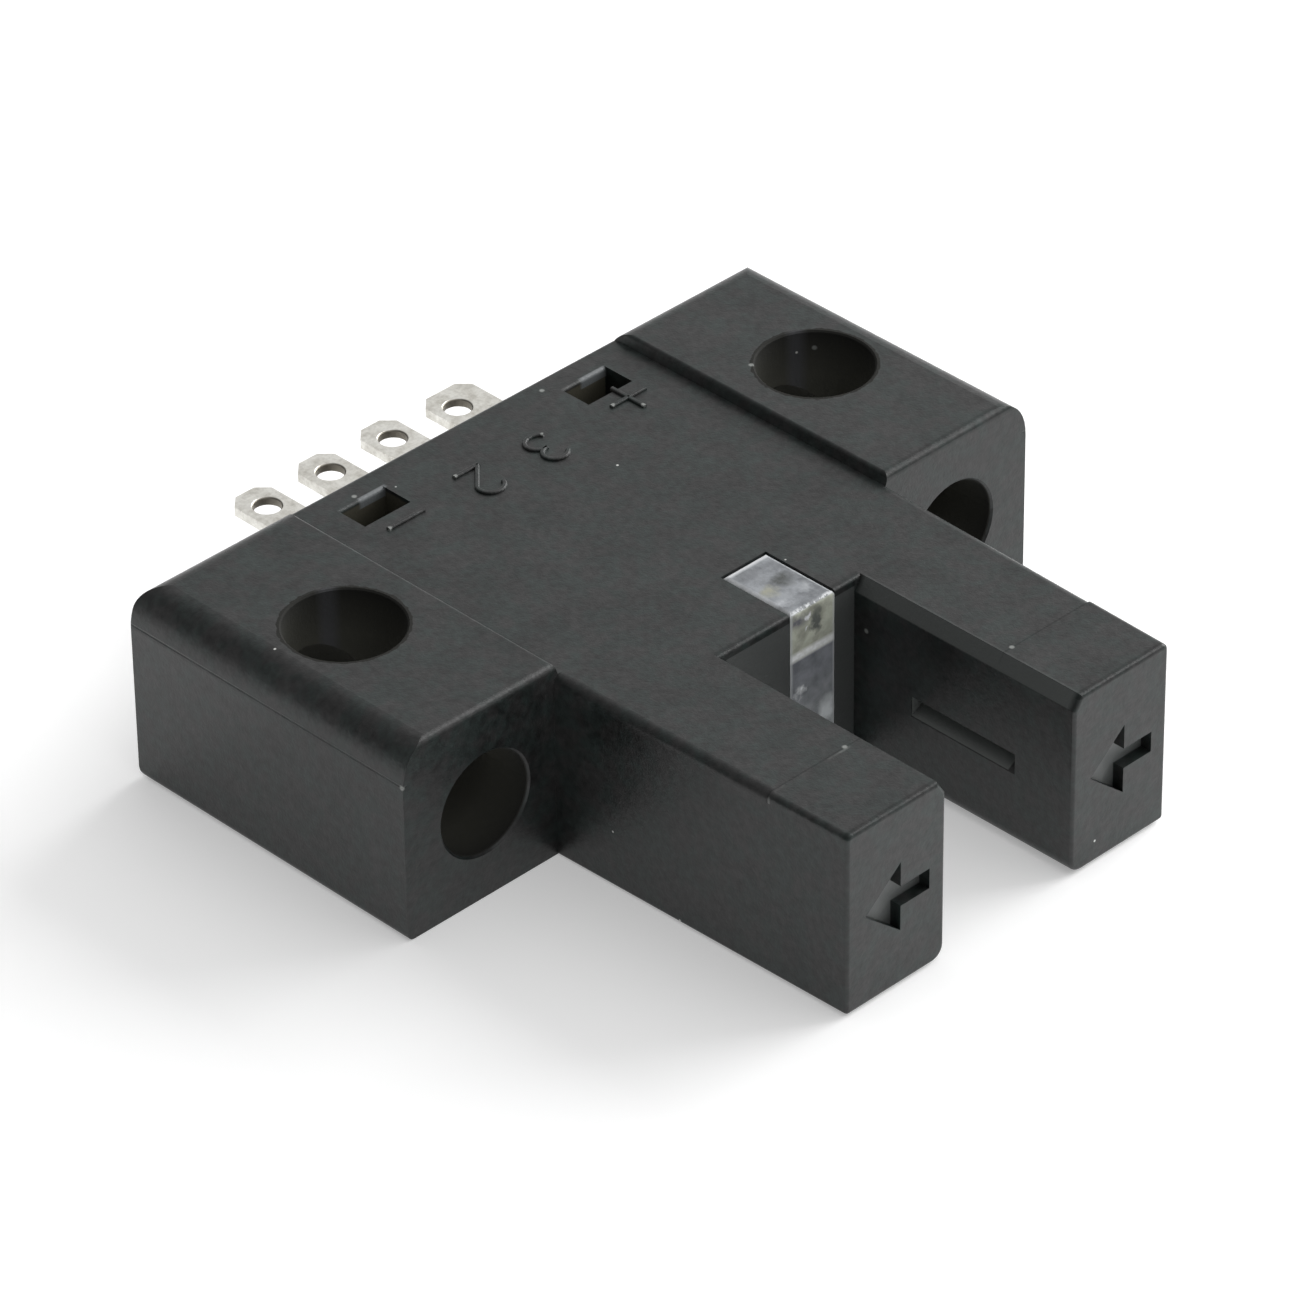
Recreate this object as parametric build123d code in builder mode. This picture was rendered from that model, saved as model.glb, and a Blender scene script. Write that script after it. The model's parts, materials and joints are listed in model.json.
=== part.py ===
from build123d import *
import os

# Fork photoelectric sensor with a 5 mm class slot, in millimetres.
# Z = 0 is the mounting underside, Y = 0 the line of the mounting holes and X = 0 the middle of the slot.
# The fork points to -Y and the solder terminals to +Y.

# Case, outside
wing_width = 5.8            # from the fork's side to the wing's outer side
wing_depth = 11.35
wing_height = 6.55
step_drop = 0.35            # the middle and the fork lie this far below the wing tops
step_inset = 0.18           # the ramp up to a wing starts this far inside the fork's side
step_ramp = 0.12            # width of that ramp
step_edge_radius = 0.12     # along its top
long_edge_x = 1.0           # the wings' long top edges are quarter ellipses, this wide
long_edge_z = 1.35          # and this high
wing_rear_radius = 0.75
wing_heel_radius = 0.4
wing_front_radius = 0.22
wing_foot_radius = 0.25
middle_edge_radius = 0.2
quarter_turn = 90

# Fork
prong_width = 4.2           # at the wings' front faces
fork_reach = 11.2           # from the wings' front faces to the tips
fork_taper = 0.3            # what each outer side loses from the wings to the tips
fork_edge_radius = 0.32     # top outer edges, behind the mould split
tip_land = 3.0              # stretch in front of the mould split
tip_corner_radius = 0.2     # the same edges in front of it
tip_rise = 0.08             # the underside climbs by this much towards the tips
prong_foot_radius = 0.12
tip_edge_radius = 0.12
slot_width = 5.2
slot_depth = 8.55
slot_bevel_x = 0.3
slot_bevel_z = 0.46
slot_edge_radius = 0.12     # top edge of the slot's rear wall
slot_foot_radius = 0.45     # lower edges of the slot's sides

# Mounting holes, one upright and one lying bore in each wing
hole_inset = 3.1            # from the wing's outer side to the holes
upright_bore = 3.6
lying_bore = 3.3
lying_bore_height = 3.2
upright_edge_break = 0.05
lying_edge_break = 0.09

# Hollow of the case
roof = 1.0
rear_wall = 1.0
side_wall = 0.9             # beside the hollow, at the tips
slot_wall = 1.0
tip_wall = 0.9
cover_thickness = 0.8
cover_recess = 0.2          # the cover lies this far inside the underside
cover_ledge = 0.3
fit_gap = 0.05              # round the cover and the windows

# Arrow sunk into each tip
arrow_length = 2.55
arrow_head = 1.4
arrow_height = 2.35
arrow_shaft = 0.68
arrow_sink = 0.4
arrow_offset = 0.05         # from the middle of the prong

# Beam
beam_reach = 4.245          # from the tips to the middle of the slits
slit_length = 4.05
slit_height = 0.4
slit_flare = 0.3            # extra height of the slit's mouth, on its lower side
window_length = 4.65
window_height = 1.7
window_thickness = 0.5
window_corner = 0.15
device_length = 3.0
device_offset = 0.45        # from the window to the package, room for the dome
device_side_gap = 0.15
device_top_gap = 0.2
device_corner = 0.2
emitter_dome_radius = 0.85
emitter_dome_bulge = 0.38   # how far the moulded lens stands out of the package
receiver_dome_radius = 0.75
receiver_dome_bulge = 0.2
lead_thickness = 0.25
lead_on_board = 0.9         # how far a lead lies on the board
emitter_lead_count = 2
emitter_lead_pitch = 0.9
emitter_lead_width = 0.4
receiver_lead_count = 3
receiver_lead_pitch = 0.5
receiver_lead_width = 0.3

# Light pipe of the indicator
pipe_width = 1.8
pipe_side_gap = 0.825       # from the slot's right side to the light pipe
pipe_length = 2.75
pipe_plate = 1.0
pipe_head = 1.7
pipe_foot_length = 2.0
pipe_edge_radius = 0.16
pipe_fit = 0.02             # round the light pipe in its notch

# Circuit board
board_thickness = 0.8
board_gap = 1.2             # from the cover to the board
board_side_gap = 0.3
board_front_gap = 2.425     # from the hollow's wall at the slot
board_rear_gap = 1.475      # from the hollow's rear wall
board_corner = 0.3
post_radius = 0.5
post_inset = 0.7
hold_rib_width = 0.5
hold_rib_length = 2.0
hold_rib_reach = 3.4        # from the board's front edge to the middle of a rib

# Terminals
terminal_pitch = 2.54
terminal_count = 4
terminal_width = 1.5
terminal_extra = 0.45       # the last one is wider, towards +X,
terminal_cut = 0.15         # and this much shorter
terminal_thickness = 0.3
terminal_reach = 5.0
terminal_corner = 0.38
eyelet_radius = 0.44
eyelet_edge = 0.04
eyelet_inset = 1.0          # from a tab's end to its eyelet
shoulder_extra = 0.2
shoulder_length = 0.35
tail_width = 0.8
tail_gap = 0.5              # from the rear row of parts to the terminals' tails
terminal_block_side = 0.3   # from the outermost tabs to the sides of the terminal block

# Parts on the board
rear_row_reach = 5.8        # from the board's front edge to the middle of the rear row
chip_lead_count = 4
pair_lead_count = 2
single_lead_count = 1
foot_width = 0.35
foot_reach = 0.5
foot_thickness = 0.15
package_bevel = 0.12
chip_length = 1.6
chip_width = 0.8
chip_cap = 0.3
chip_cap_step = 0.03
lamp_height = 0.6
lamp_gap = 0.3              # from the lamp to the light pipe's foot
lamp_inset = 0.8            # from the end of that foot to the middle of the lamp

# Latches of the cover and their pockets in the roof
pocket_width = 1.8
pocket_length = 1.1
pocket_inset = 1.1          # from the hollow's side to the middle of a pocket
pocket_edge_radius = 0.12
latch_width = 0.9
latch_inset = 0.7
latch_thickness = 0.6
latch_nose = 0.4
latch_nose_height = 0.35
latch_rise = 0.5            # sloping part above the nose
catch_height = 0.55
catch_gap = 0.15            # from the terminals to the catches

# Places that follow from the sizes
rear_y = wing_depth / 2
front_y = -wing_depth / 2
middle_height = wing_height - step_drop
slot_half = slot_width / 2
fork_half = slot_half + prong_width
case_half = fork_half + wing_width
step_foot_half = fork_half - step_inset
hole_x = case_half - hole_inset
tip_y = front_y - fork_reach
tip_half = fork_half - fork_taper
split_y = tip_y + tip_land
split_share = (fork_reach - tip_land) / fork_reach
split_rise = tip_rise * split_share
split_half = fork_half - fork_taper * split_share
slot_root_y = tip_y + slot_depth
prong_middle = (slot_half + tip_half) / 2
hollow_half = tip_half - side_wall
hollow_inner = slot_half + slot_wall
hollow_rear_y = rear_y - rear_wall
hollow_root_y = slot_root_y + slot_wall
hollow_tip_y = tip_y + tip_wall
hollow_top = middle_height - roof
cover_top = cover_recess + cover_thickness
board_bottom = cover_top + board_gap
board_top = board_bottom + board_thickness
board_half = hollow_half - board_side_gap
board_front_y = hollow_root_y + board_front_gap
board_rear_y = hollow_rear_y - board_rear_gap
hold_rib_y = board_front_y + hold_rib_reach
tail_end_y = board_front_y + rear_row_reach + chip_width / 2 + tail_gap
terminal_top = board_top + terminal_thickness
terminal_block_half = (
    terminal_pitch * (terminal_count - 1) / 2
    + terminal_width / 2
    + terminal_extra
    + terminal_block_side
)
pipe_x = slot_half - pipe_side_gap - pipe_width / 2
pipe_rear_y = slot_root_y + pipe_length
pipe_foot_y = pipe_rear_y + pipe_foot_length
pipe_head_z = middle_height - pipe_head
pipe_foot_z = board_top + lamp_height + lamp_gap
pipe_foot_bevel = (hollow_top - pipe_foot_z) / 2
beam_y = tip_y + beam_reach
device_height = hollow_top - device_top_gap - cover_top
beam_z = cover_top + device_height / 2
window_x = hollow_inner - window_thickness
device_x = hollow_inner + device_offset
device_thickness = hollow_half - device_side_gap - device_x
device_middle_x = device_x + device_thickness / 2
pocket_x = hollow_half - pocket_inset
latch_x = hollow_half - latch_inset
catch_top = terminal_top + catch_gap + catch_height
latch_nose_top = catch_top + fit_gap + latch_nose_height
latch_top = latch_nose_top + latch_rise
latch_front_y = hollow_rear_y - latch_nose - fit_gap - latch_thickness - fit_gap
latch_rear_y = latch_front_y + latch_thickness


def fork_outline(side, rear, root, inner, tip):
    """Flat outline of the middle and both prongs: half width, rear edge, slot root, slot side and tip."""
    with BuildSketch() as outline:
        with BuildLine():
            Polyline((0, root), (inner, root), (inner, tip), (side, tip), (side, rear), (0, rear))
            mirror(about=Plane.YZ)
        make_face()
    return outline.sketch


def terminal_edges(number):
    """Left and right edge of a terminal's tab: the last one is wider."""
    centre = terminal_pitch * (number - (terminal_count - 1) / 2)
    extra = terminal_extra if number == terminal_count - 1 else 0
    return centre - terminal_width / 2, centre + terminal_width / 2 + extra, centre


def finish(piece, name):
    """Labels a piece and writes its file."""
    piece.label = name
    export_step(piece, f"parts/{name}.step")
    print(f"{name:22s} {piece.volume:9.3f} mm3")


os.makedirs("parts", exist_ok=True)

# Right wing of the housing: its section along the row of holes, cut to its rounded side view
with BuildPart() as wing:
    with BuildSketch(Plane.XZ.offset(-rear_y)) as wing_section:
        with BuildLine():
            Polyline(
                (case_half - long_edge_x, wing_height),
                (step_foot_half + step_ramp, wing_height),
                (step_foot_half, middle_height),
                (step_foot_half, 0),
                (case_half, 0),
                (case_half, wing_height - long_edge_z),
            )
            EllipticalCenterArc(
                (case_half - long_edge_x, wing_height - long_edge_z),
                long_edge_x,
                long_edge_z,
                start_angle=0,
                arc_size=quarter_turn,
            )
        make_face()
        fillet(wing_section.vertices().group_by(Axis.Y)[0].sort_by(Axis.X)[-1], wing_foot_radius)
        fillet(wing_section.vertices().group_by(Axis.Y)[-1].sort_by(Axis.X)[0], step_edge_radius)
    extrude(amount=wing_depth)
    with BuildSketch(Plane.YZ) as side_view:
        with Locations((0, wing_height / 2)):
            Rectangle(wing_depth, wing_height)
        fillet(side_view.vertices().group_by(Axis.X)[0].sort_by(Axis.Y)[-1], wing_front_radius)
        fillet(side_view.vertices().group_by(Axis.X)[-1].sort_by(Axis.Y)[-1], wing_rear_radius)
        fillet(side_view.vertices().group_by(Axis.X)[-1].sort_by(Axis.Y)[0], wing_heel_radius)
    extrude(amount=case_half, mode=Mode.INTERSECT)

# Housing: one moulding with the middle, two wings and the two prongs of the fork
with BuildPart() as housing:
    with BuildSketch():
        Rectangle(2 * fork_half, wing_depth)
    extrude(amount=middle_height)
    middle_top = housing.faces().sort_by(Axis.Z)[-1]
    fillet(middle_top.edges().sort_by(Axis.Y)[-1], middle_edge_radius)
    add(wing.part)
    mirror(wing.part, about=Plane.YZ)

    # Fork: two tapering stretches that meet at the mould split
    root, split, tip = (front_y, fork_half, 0), (split_y, split_half, split_rise), (tip_y, tip_half, tip_rise)
    for stretch, corner in (((root, split), fork_edge_radius), ((split, tip), tip_corner_radius)):
        for y, half, floor in stretch:
            with BuildSketch(Plane.XZ.offset(-y)) as section:
                with Locations((0, floor)):
                    Rectangle(2 * half, middle_height - floor, align=(Align.CENTER, Align.MIN))
                fillet(section.vertices().group_by(Axis.Y)[-1], corner)
                fillet(section.vertices().group_by(Axis.Y)[0], prong_foot_radius)
        loft()

    # Slot with bevelled top edges, open to the front, the top and the underside
    with BuildSketch(Plane.XZ.offset(-slot_root_y)):
        with BuildLine():
            Polyline(
                (0, -slot_bevel_z),
                (slot_half, -slot_bevel_z),
                (slot_half, middle_height - slot_bevel_z),
                (slot_half + 2 * slot_bevel_x, middle_height + slot_bevel_z),
                (0, middle_height + slot_bevel_z),
            )
            mirror(about=Plane.YZ)
        make_face()
    extrude(amount=2 * slot_depth, mode=Mode.SUBTRACT)
    slot_feet = housing.edges().filter_by_position(Axis.Z, -tip_rise, tip_rise).filter_by(
        lambda e: abs(abs(e.center().X) - slot_half) < 1e-6
    )
    fillet(slot_feet, slot_foot_radius)
    fillet(housing.faces().sort_by(Axis.Y)[:2].edges(), tip_edge_radius)

    # Upright and lying bores of the wings
    with Locations((hole_x, 0, 0), (-hole_x, 0, 0)):
        Hole(upright_bore / 2, depth=wing_height * 3)
    upright_rims = housing.edges().filter_by(GeomType.CIRCLE).filter_by(
        lambda e: abs(e.radius - upright_bore / 2) < 1e-6
    )
    chamfer(upright_rims, upright_edge_break)
    with BuildSketch(Plane.XZ.offset(-rear_y)):
        with Locations((hole_x, lying_bore_height), (-hole_x, lying_bore_height)):
            Circle(lying_bore / 2)
    extrude(amount=wing_depth, mode=Mode.SUBTRACT)
    lying_rims = housing.edges().filter_by(GeomType.CIRCLE).filter_by(
        lambda e: abs(e.radius - lying_bore / 2) < 1e-6
    )
    chamfer(lying_rims, lying_edge_break)

    # Hollow for the electronics, the ledge for the cover and the opening for the terminals
    with BuildSketch():
        add(fork_outline(hollow_half, hollow_rear_y, hollow_root_y, hollow_inner, hollow_tip_y))
    extrude(amount=hollow_top, mode=Mode.SUBTRACT)
    with BuildSketch():
        add(
            fork_outline(
                hollow_half + cover_ledge,
                hollow_rear_y,
                hollow_root_y - cover_ledge,
                hollow_inner - cover_ledge,
                hollow_tip_y - cover_ledge,
            )
        )
    extrude(amount=cover_top, mode=Mode.SUBTRACT)
    with Locations((0, rear_y, 0)):
        Box(
            2 * terminal_block_half,
            2 * rear_wall,
            terminal_top,
            align=(Align.CENTER, Align.CENTER, Align.MIN),
            mode=Mode.SUBTRACT,
        )

    # Ribs that hold the board down, and the catches for the cover's latches
    with Locations((hollow_half, hold_rib_y, board_top), (-hollow_half, hold_rib_y, board_top)):
        Box(
            2 * hold_rib_width,
            hold_rib_length,
            hollow_top - board_top,
            align=(Align.CENTER, Align.CENTER, Align.MIN),
        )
    with Locations((latch_x, hollow_rear_y, catch_top), (-latch_x, hollow_rear_y, catch_top)):
        Box(
            latch_width + 4 * fit_gap,
            2 * latch_nose,
            catch_height,
            align=(Align.CENTER, Align.CENTER, Align.MAX),
        )

    # Pockets in the roof above the latches
    with Locations((pocket_x, hollow_rear_y, hollow_top), (-pocket_x, hollow_rear_y, hollow_top)):
        Box(
            pocket_width,
            pocket_length,
            2 * roof,
            align=(Align.CENTER, Align.MAX, Align.MIN),
            mode=Mode.SUBTRACT,
        )

    # Notch for the light pipe, through the roof and the slot's rear wall
    with Locations((pipe_x, slot_root_y, 0)):
        Box(
            pipe_width + 2 * pipe_fit,
            2 * (pipe_length + pipe_fit),
            2 * middle_height,
            mode=Mode.SUBTRACT,
        )

    # Slits for the beam, flared on their lower side, and the seats of the windows behind them
    with BuildSketch(Plane.XZ.offset(-beam_y - slit_length / 2)):
        with BuildLine():
            Polyline(
                (slot_half, beam_z + slit_height / 2),
                (window_x, beam_z + slit_height / 2),
                (window_x, beam_z - slit_height / 2),
                (slot_half, beam_z - slit_height / 2 - slit_flare),
                close=True,
            )
        make_face()
        mirror(about=Plane.YZ)
    extrude(amount=slit_length, mode=Mode.SUBTRACT)
    with Locations((hollow_inner, beam_y, beam_z), (-hollow_inner, beam_y, beam_z)):
        Box(
            2 * window_thickness,
            window_length + 2 * fit_gap,
            window_height + 2 * fit_gap,
            mode=Mode.SUBTRACT,
        )

    # Arrows sunk into the tips, both in the direction of the beam
    with BuildSketch(Plane.XZ.offset(-tip_y)):
        for middle in (prong_middle, -prong_middle):
            with Locations((middle + arrow_offset, middle_height / 2)):
                Polygon(
                    (-arrow_length / 2, 0),
                    (arrow_head - arrow_length / 2, -arrow_height / 2),
                    (arrow_head - arrow_length / 2, -arrow_shaft / 2),
                    (arrow_length / 2, -arrow_shaft / 2),
                    (arrow_length / 2, arrow_shaft / 2),
                    (arrow_head - arrow_length / 2, arrow_shaft / 2),
                    (arrow_head - arrow_length / 2, arrow_height / 2),
                    align=None,
                )
    extrude(amount=-arrow_sink, mode=Mode.SUBTRACT)

    # Soft top edges at the pockets and at the slot
    top_edges = housing.edges().filter_by(Axis.X).filter_by_position(
        Axis.Z, middle_height - fit_gap, middle_height + fit_gap
    )
    for y, radius in (
        (hollow_rear_y, pocket_edge_radius),
        (slot_root_y, slot_edge_radius),
    ):
        fillet(top_edges.filter_by_position(Axis.Y, y - fit_gap, y + fit_gap), radius)
finish(housing.part, "housing")

# Base cover: closes the underside, fills the opening round the terminals and carries the board
with BuildPart() as base_cover:
    with BuildSketch(Plane.XY.offset(cover_recess)):
        add(
            fork_outline(
                hollow_half + cover_ledge - fit_gap,
                hollow_rear_y - fit_gap,
                hollow_root_y - cover_ledge + fit_gap,
                hollow_inner - cover_ledge + fit_gap,
                hollow_tip_y - cover_ledge + fit_gap,
            )
        )
    extrude(amount=cover_thickness)
    with Locations((0, rear_y, cover_recess)):
        Box(
            2 * (terminal_block_half - fit_gap),
            rear_wall + fit_gap,
            terminal_top - fit_gap - cover_recess,
            align=(Align.CENTER, Align.MAX, Align.MIN),
        )
    for number in range(terminal_count):
        left, right, centre = terminal_edges(number)
        with Locations(((left + right) / 2, rear_y, board_top)):
            Box(
                right - left + 2 * fit_gap,
                2 * (rear_wall + fit_gap),
                2 * terminal_thickness,
                align=(Align.CENTER, Align.CENTER, Align.MIN),
                mode=Mode.SUBTRACT,
            )
    # Tongue that closes the notch under the light pipe
    with Locations((pipe_x, slot_root_y, cover_recess)):
        Box(
            pipe_width,
            slot_wall - cover_ledge + fit_gap,
            cover_thickness,
            align=(Align.CENTER, Align.MIN, Align.MIN),
        )
    # Posts under the board
    for post_y in (board_front_y + post_inset, board_rear_y - post_inset):
        with Locations(
            (board_half - post_inset, post_y, cover_top),
            (post_inset - board_half, post_y, cover_top),
        ):
            Cylinder(post_radius, board_gap, align=(Align.CENTER, Align.CENTER, Align.MIN))
    # Latches that snap over the catches
    for side in (-1, 1):
        with BuildSketch(Plane.YZ.offset(side * latch_x - latch_width / 2)):
            with BuildLine():
                Polyline(
                    (latch_front_y, cover_top),
                    (latch_rear_y, cover_top),
                    (latch_rear_y, catch_top + fit_gap),
                    (latch_rear_y + latch_nose, catch_top + fit_gap),
                    (latch_rear_y + latch_nose, latch_nose_top),
                    (latch_front_y + latch_nose, latch_top),
                    (latch_front_y, latch_top),
                    close=True,
                )
            make_face()
        extrude(amount=latch_width)
finish(base_cover.part, "base_cover")

# Light pipe: a clear head in the roof, a plate down the slot's rear wall and a foot over the lamp
with BuildPart() as light_pipe:
    with BuildSketch(Plane.YZ.offset(pipe_x - pipe_width / 2)):
        with BuildLine():
            Polyline(
                (slot_root_y, cover_top),
                (slot_root_y, middle_height),
                (pipe_rear_y, middle_height),
                (pipe_rear_y, hollow_top),
                (pipe_foot_y - pipe_foot_bevel, hollow_top),
                (pipe_foot_y, hollow_top - pipe_foot_bevel),
                (pipe_foot_y, pipe_foot_z),
                (pipe_rear_y, pipe_foot_z),
                (slot_root_y + pipe_plate, pipe_head_z),
                (slot_root_y + pipe_plate, cover_top),
                close=True,
            )
        make_face()
    extrude(amount=pipe_width)
    fillet(light_pipe.faces().sort_by(Axis.Z)[-1].edges(), pipe_edge_radius)
finish(light_pipe.part, "light_pipe")

# Dark windows behind the slits
for name, side in (("emitter_window", 1), ("receiver_window", -1)):
    with BuildPart() as window:
        with Locations((side * (hollow_inner - window_thickness / 2), beam_y, beam_z)):
            Box(window_thickness, window_length, window_height)
        fillet(window.edges().filter_by(Axis.X), window_corner)
    finish(window.part, name)

# Emitter and receiver: moulded packages on the beam, and the leads that tie them to the board
emitter = (emitter_dome_radius, emitter_dome_bulge)
receiver = (receiver_dome_radius, receiver_dome_bulge)
for name, side, dome in (("emitter", 1, emitter), ("receiver", -1, receiver)):
    dome_radius, dome_bulge = dome
    with BuildPart() as package:
        with Locations((side * device_middle_x, beam_y, beam_z)):
            Box(device_thickness, device_length, device_height)
        fillet(package.edges().filter_by(Axis.X), device_corner)
        with Locations((side * (device_x - dome_bulge + dome_radius), beam_y, beam_z)):
            Sphere(dome_radius, rotation=(0, 0, quarter_turn - quarter_turn * side))
    finish(package.part, name + "_package")

lead_start_y = beam_y + device_length / 2
lead_rows = (
    ("emitter", 1, emitter_lead_count, emitter_lead_pitch, emitter_lead_width),
    ("receiver", -1, receiver_lead_count, receiver_lead_pitch, receiver_lead_width),
)
for name, side, lead_count, lead_pitch, lead_width in lead_rows:
    with BuildPart() as lead_frame:
        with Locations((side * device_middle_x, lead_start_y, board_top)):
            with GridLocations(lead_pitch, 1, lead_count, 1):
                Box(
                    lead_width,
                    board_front_y + lead_on_board - lead_start_y,
                    lead_thickness,
                    align=(Align.CENTER, Align.MIN, Align.MIN),
                )
    finish(lead_frame.part, name + "_leads")

# Circuit board
with BuildPart() as circuit_board:
    with Locations((0, (board_front_y + board_rear_y) / 2, board_bottom)):
        Box(
            2 * board_half,
            board_rear_y - board_front_y,
            board_thickness,
            align=(Align.CENTER, Align.CENTER, Align.MIN),
        )
    fillet(circuit_board.edges().filter_by(Axis.Z), board_corner)
finish(circuit_board.part, "circuit_board")

# Solder terminals: a tab with an eyelet outside, shoulders behind the wall and a tail on the board
for number in range(terminal_count):
    left, right, centre = terminal_edges(number)
    end_y = rear_y + terminal_reach - (terminal_cut if number == terminal_count - 1 else 0)
    shoulder_y = hollow_rear_y - fit_gap
    with BuildPart() as terminal:
        with BuildSketch(Plane.XY.offset(board_top)):
            with Locations(((left + right) / 2, shoulder_y)):
                Rectangle(right - left, end_y - shoulder_y, align=(Align.CENTER, Align.MIN))
                Rectangle(
                    right - left + 2 * shoulder_extra,
                    shoulder_length,
                    align=(Align.CENTER, Align.MAX),
                )
            with Locations((centre, tail_end_y)):
                Rectangle(tail_width, shoulder_y - tail_end_y, align=(Align.CENTER, Align.MIN))
        extrude(amount=terminal_thickness)
        tab_corners = terminal.edges().filter_by(Axis.Z).group_by(Axis.Y)[-1]
        chamfer(tab_corners, terminal_corner)
        with Locations((centre, end_y - eyelet_inset, terminal_top)):
            Hole(eyelet_radius)
        eyelet_rims = terminal.edges().filter_by(GeomType.CIRCLE)
        chamfer(eyelet_rims, eyelet_edge)
    finish(terminal.part, f"terminal_{number + 1}")

# Moulded packages on the board. Their middles are given from the board's edges on their side and in
# front, then come length, width and height, and the leads in front, at the rear and their pitch.
packages = (
    ("main_circuit_chip", -1, 3.1, 3.3, 3.0, 2.6, 1.1, chip_lead_count, chip_lead_count, 0.75),
    ("output_transistor", 1, 3.6, 3.5, 2.9, 1.3, 1.0, pair_lead_count, single_lead_count, 1.9),
    ("zener_diode", 1, 1.2, 3.6, 1.25, 1.7, 0.95, single_lead_count, single_lead_count, 1.0),
)
for name, side, inset, reach, length, width, height, front_count, rear_count, pitch in packages:
    x = side * (board_half - inset)
    y = board_front_y + reach
    with BuildPart() as package:
        with Locations((x, y, board_top + foot_thickness)):
            Box(length, width, height - foot_thickness, align=(Align.CENTER, Align.CENTER, Align.MIN))
        chamfer(package.faces().sort_by(Axis.Z)[-1].edges(), package_bevel)
        for end, count in ((-1, front_count), (1, rear_count)):
            with Locations((x, y + end * (width + foot_reach) / 2, board_top)):
                with GridLocations(pitch, 1, count, 1):
                    Box(
                        foot_width,
                        foot_reach,
                        foot_thickness + height / 3,
                        align=(Align.CENTER, Align.CENTER, Align.MIN),
                    )
            with Locations((x, y + end * (width / 2 + foot_reach), board_top + foot_thickness)):
                with GridLocations(pitch, 1, count, 1):
                    Box(
                        foot_width,
                        foot_reach,
                        height,
                        align=(Align.CENTER, Align.CENTER, Align.MIN),
                        mode=Mode.SUBTRACT,
                    )
    finish(package.part, name)

# Two-ended chips on the board: side, place from the board's edges on that side and in front, height
chips = (
    ("indicator_lamp", 1, board_half - pipe_x, pipe_foot_y - lamp_inset - board_front_y, lamp_height),
    ("lamp_resistor", -1, 3.4, 0.7, 0.45),
    ("base_resistor", 1, 3.4, rear_row_reach, 0.45),
    ("pull_up_resistor", -1, 4.7, rear_row_reach, 0.45),
    ("bypass_capacitor", -1, 1.7, rear_row_reach, 0.8),
)
for name, side, inset, reach, height in chips:
    with BuildPart() as chip:
        with Locations((side * (board_half - inset), board_front_y + reach, board_top)):
            Box(
                chip_length - chip_cap,
                chip_width - 2 * chip_cap_step,
                height - chip_cap_step,
                align=(Align.CENTER, Align.CENTER, Align.MIN),
            )
            with GridLocations(chip_length - chip_cap, 1, 2, 1):
                Box(chip_cap, chip_width, height, align=(Align.CENTER, Align.CENTER, Align.MIN))
    finish(chip.part, name)
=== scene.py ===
# %% [markdown]
# # Dressing a fork photoelectric sensor
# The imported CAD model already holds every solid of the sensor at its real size, in metres. This
# lesson adds what a CAD kernel is not made for: the camera and the studio, the small moulded marks
# on the roof, and a finish for each piece. A sensor like this is only 25 mm wide, so all surface
# detail, from the grain of the plastic to the mould seams, is a few hundredths of a millimetre.

# %% Load the sensor
import json
import math

import bpy
import numpy as np
from mathutils import Matrix, Vector


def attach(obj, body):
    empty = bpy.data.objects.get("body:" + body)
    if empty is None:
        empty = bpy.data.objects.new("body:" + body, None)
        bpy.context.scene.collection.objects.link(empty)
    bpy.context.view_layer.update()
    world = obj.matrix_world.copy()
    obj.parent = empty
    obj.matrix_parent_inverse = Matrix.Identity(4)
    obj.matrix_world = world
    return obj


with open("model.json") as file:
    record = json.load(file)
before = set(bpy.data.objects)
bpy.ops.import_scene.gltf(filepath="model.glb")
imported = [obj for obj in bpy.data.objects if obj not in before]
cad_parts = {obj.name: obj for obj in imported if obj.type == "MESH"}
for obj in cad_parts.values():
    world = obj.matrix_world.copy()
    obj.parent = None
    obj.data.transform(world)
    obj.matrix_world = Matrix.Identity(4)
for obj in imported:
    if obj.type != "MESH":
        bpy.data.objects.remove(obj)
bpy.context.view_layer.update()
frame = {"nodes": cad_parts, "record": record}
nodes = frame["nodes"]
mm = 0.001

# %% [markdown]
# ## The camera
# A camera can be placed by eye, but straight edges in a photograph allow better: with a few dozen of
# them the place, the direction and the focal length can be solved. The numbers below are such a
# solution. Blender wants the focal length in millimetres of its 36 mm sensor, and the point that the
# camera looks at straight on as a shift, in shares of the picture's width.

# %% Camera
photo_side = 1308
focal_pixels = 7695.7
straight_on = (735.73, 547.57)
camera_place = Vector((-127.725, -133.986, 130.453)) * mm
heading = math.radians(44.9715)
look_down = math.radians(34.2334)
roll = math.radians(0.3050)


def camera_axes(heading, look_down, roll):
    """Right, up and forward of a camera.

    It looks along +Y, is turned by heading towards +X, tilted down by look_down, then rolled.
    """
    forward = Vector(
        (
            math.sin(heading) * math.cos(look_down),
            math.cos(heading) * math.cos(look_down),
            -math.sin(look_down),
        )
    )
    level = forward.cross(Vector((0, 0, 1))).normalized()
    upright = level.cross(forward)
    right = level * math.cos(roll) - upright * math.sin(roll)
    up = upright * math.cos(roll) + level * math.sin(roll)
    return right, up, forward


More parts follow.
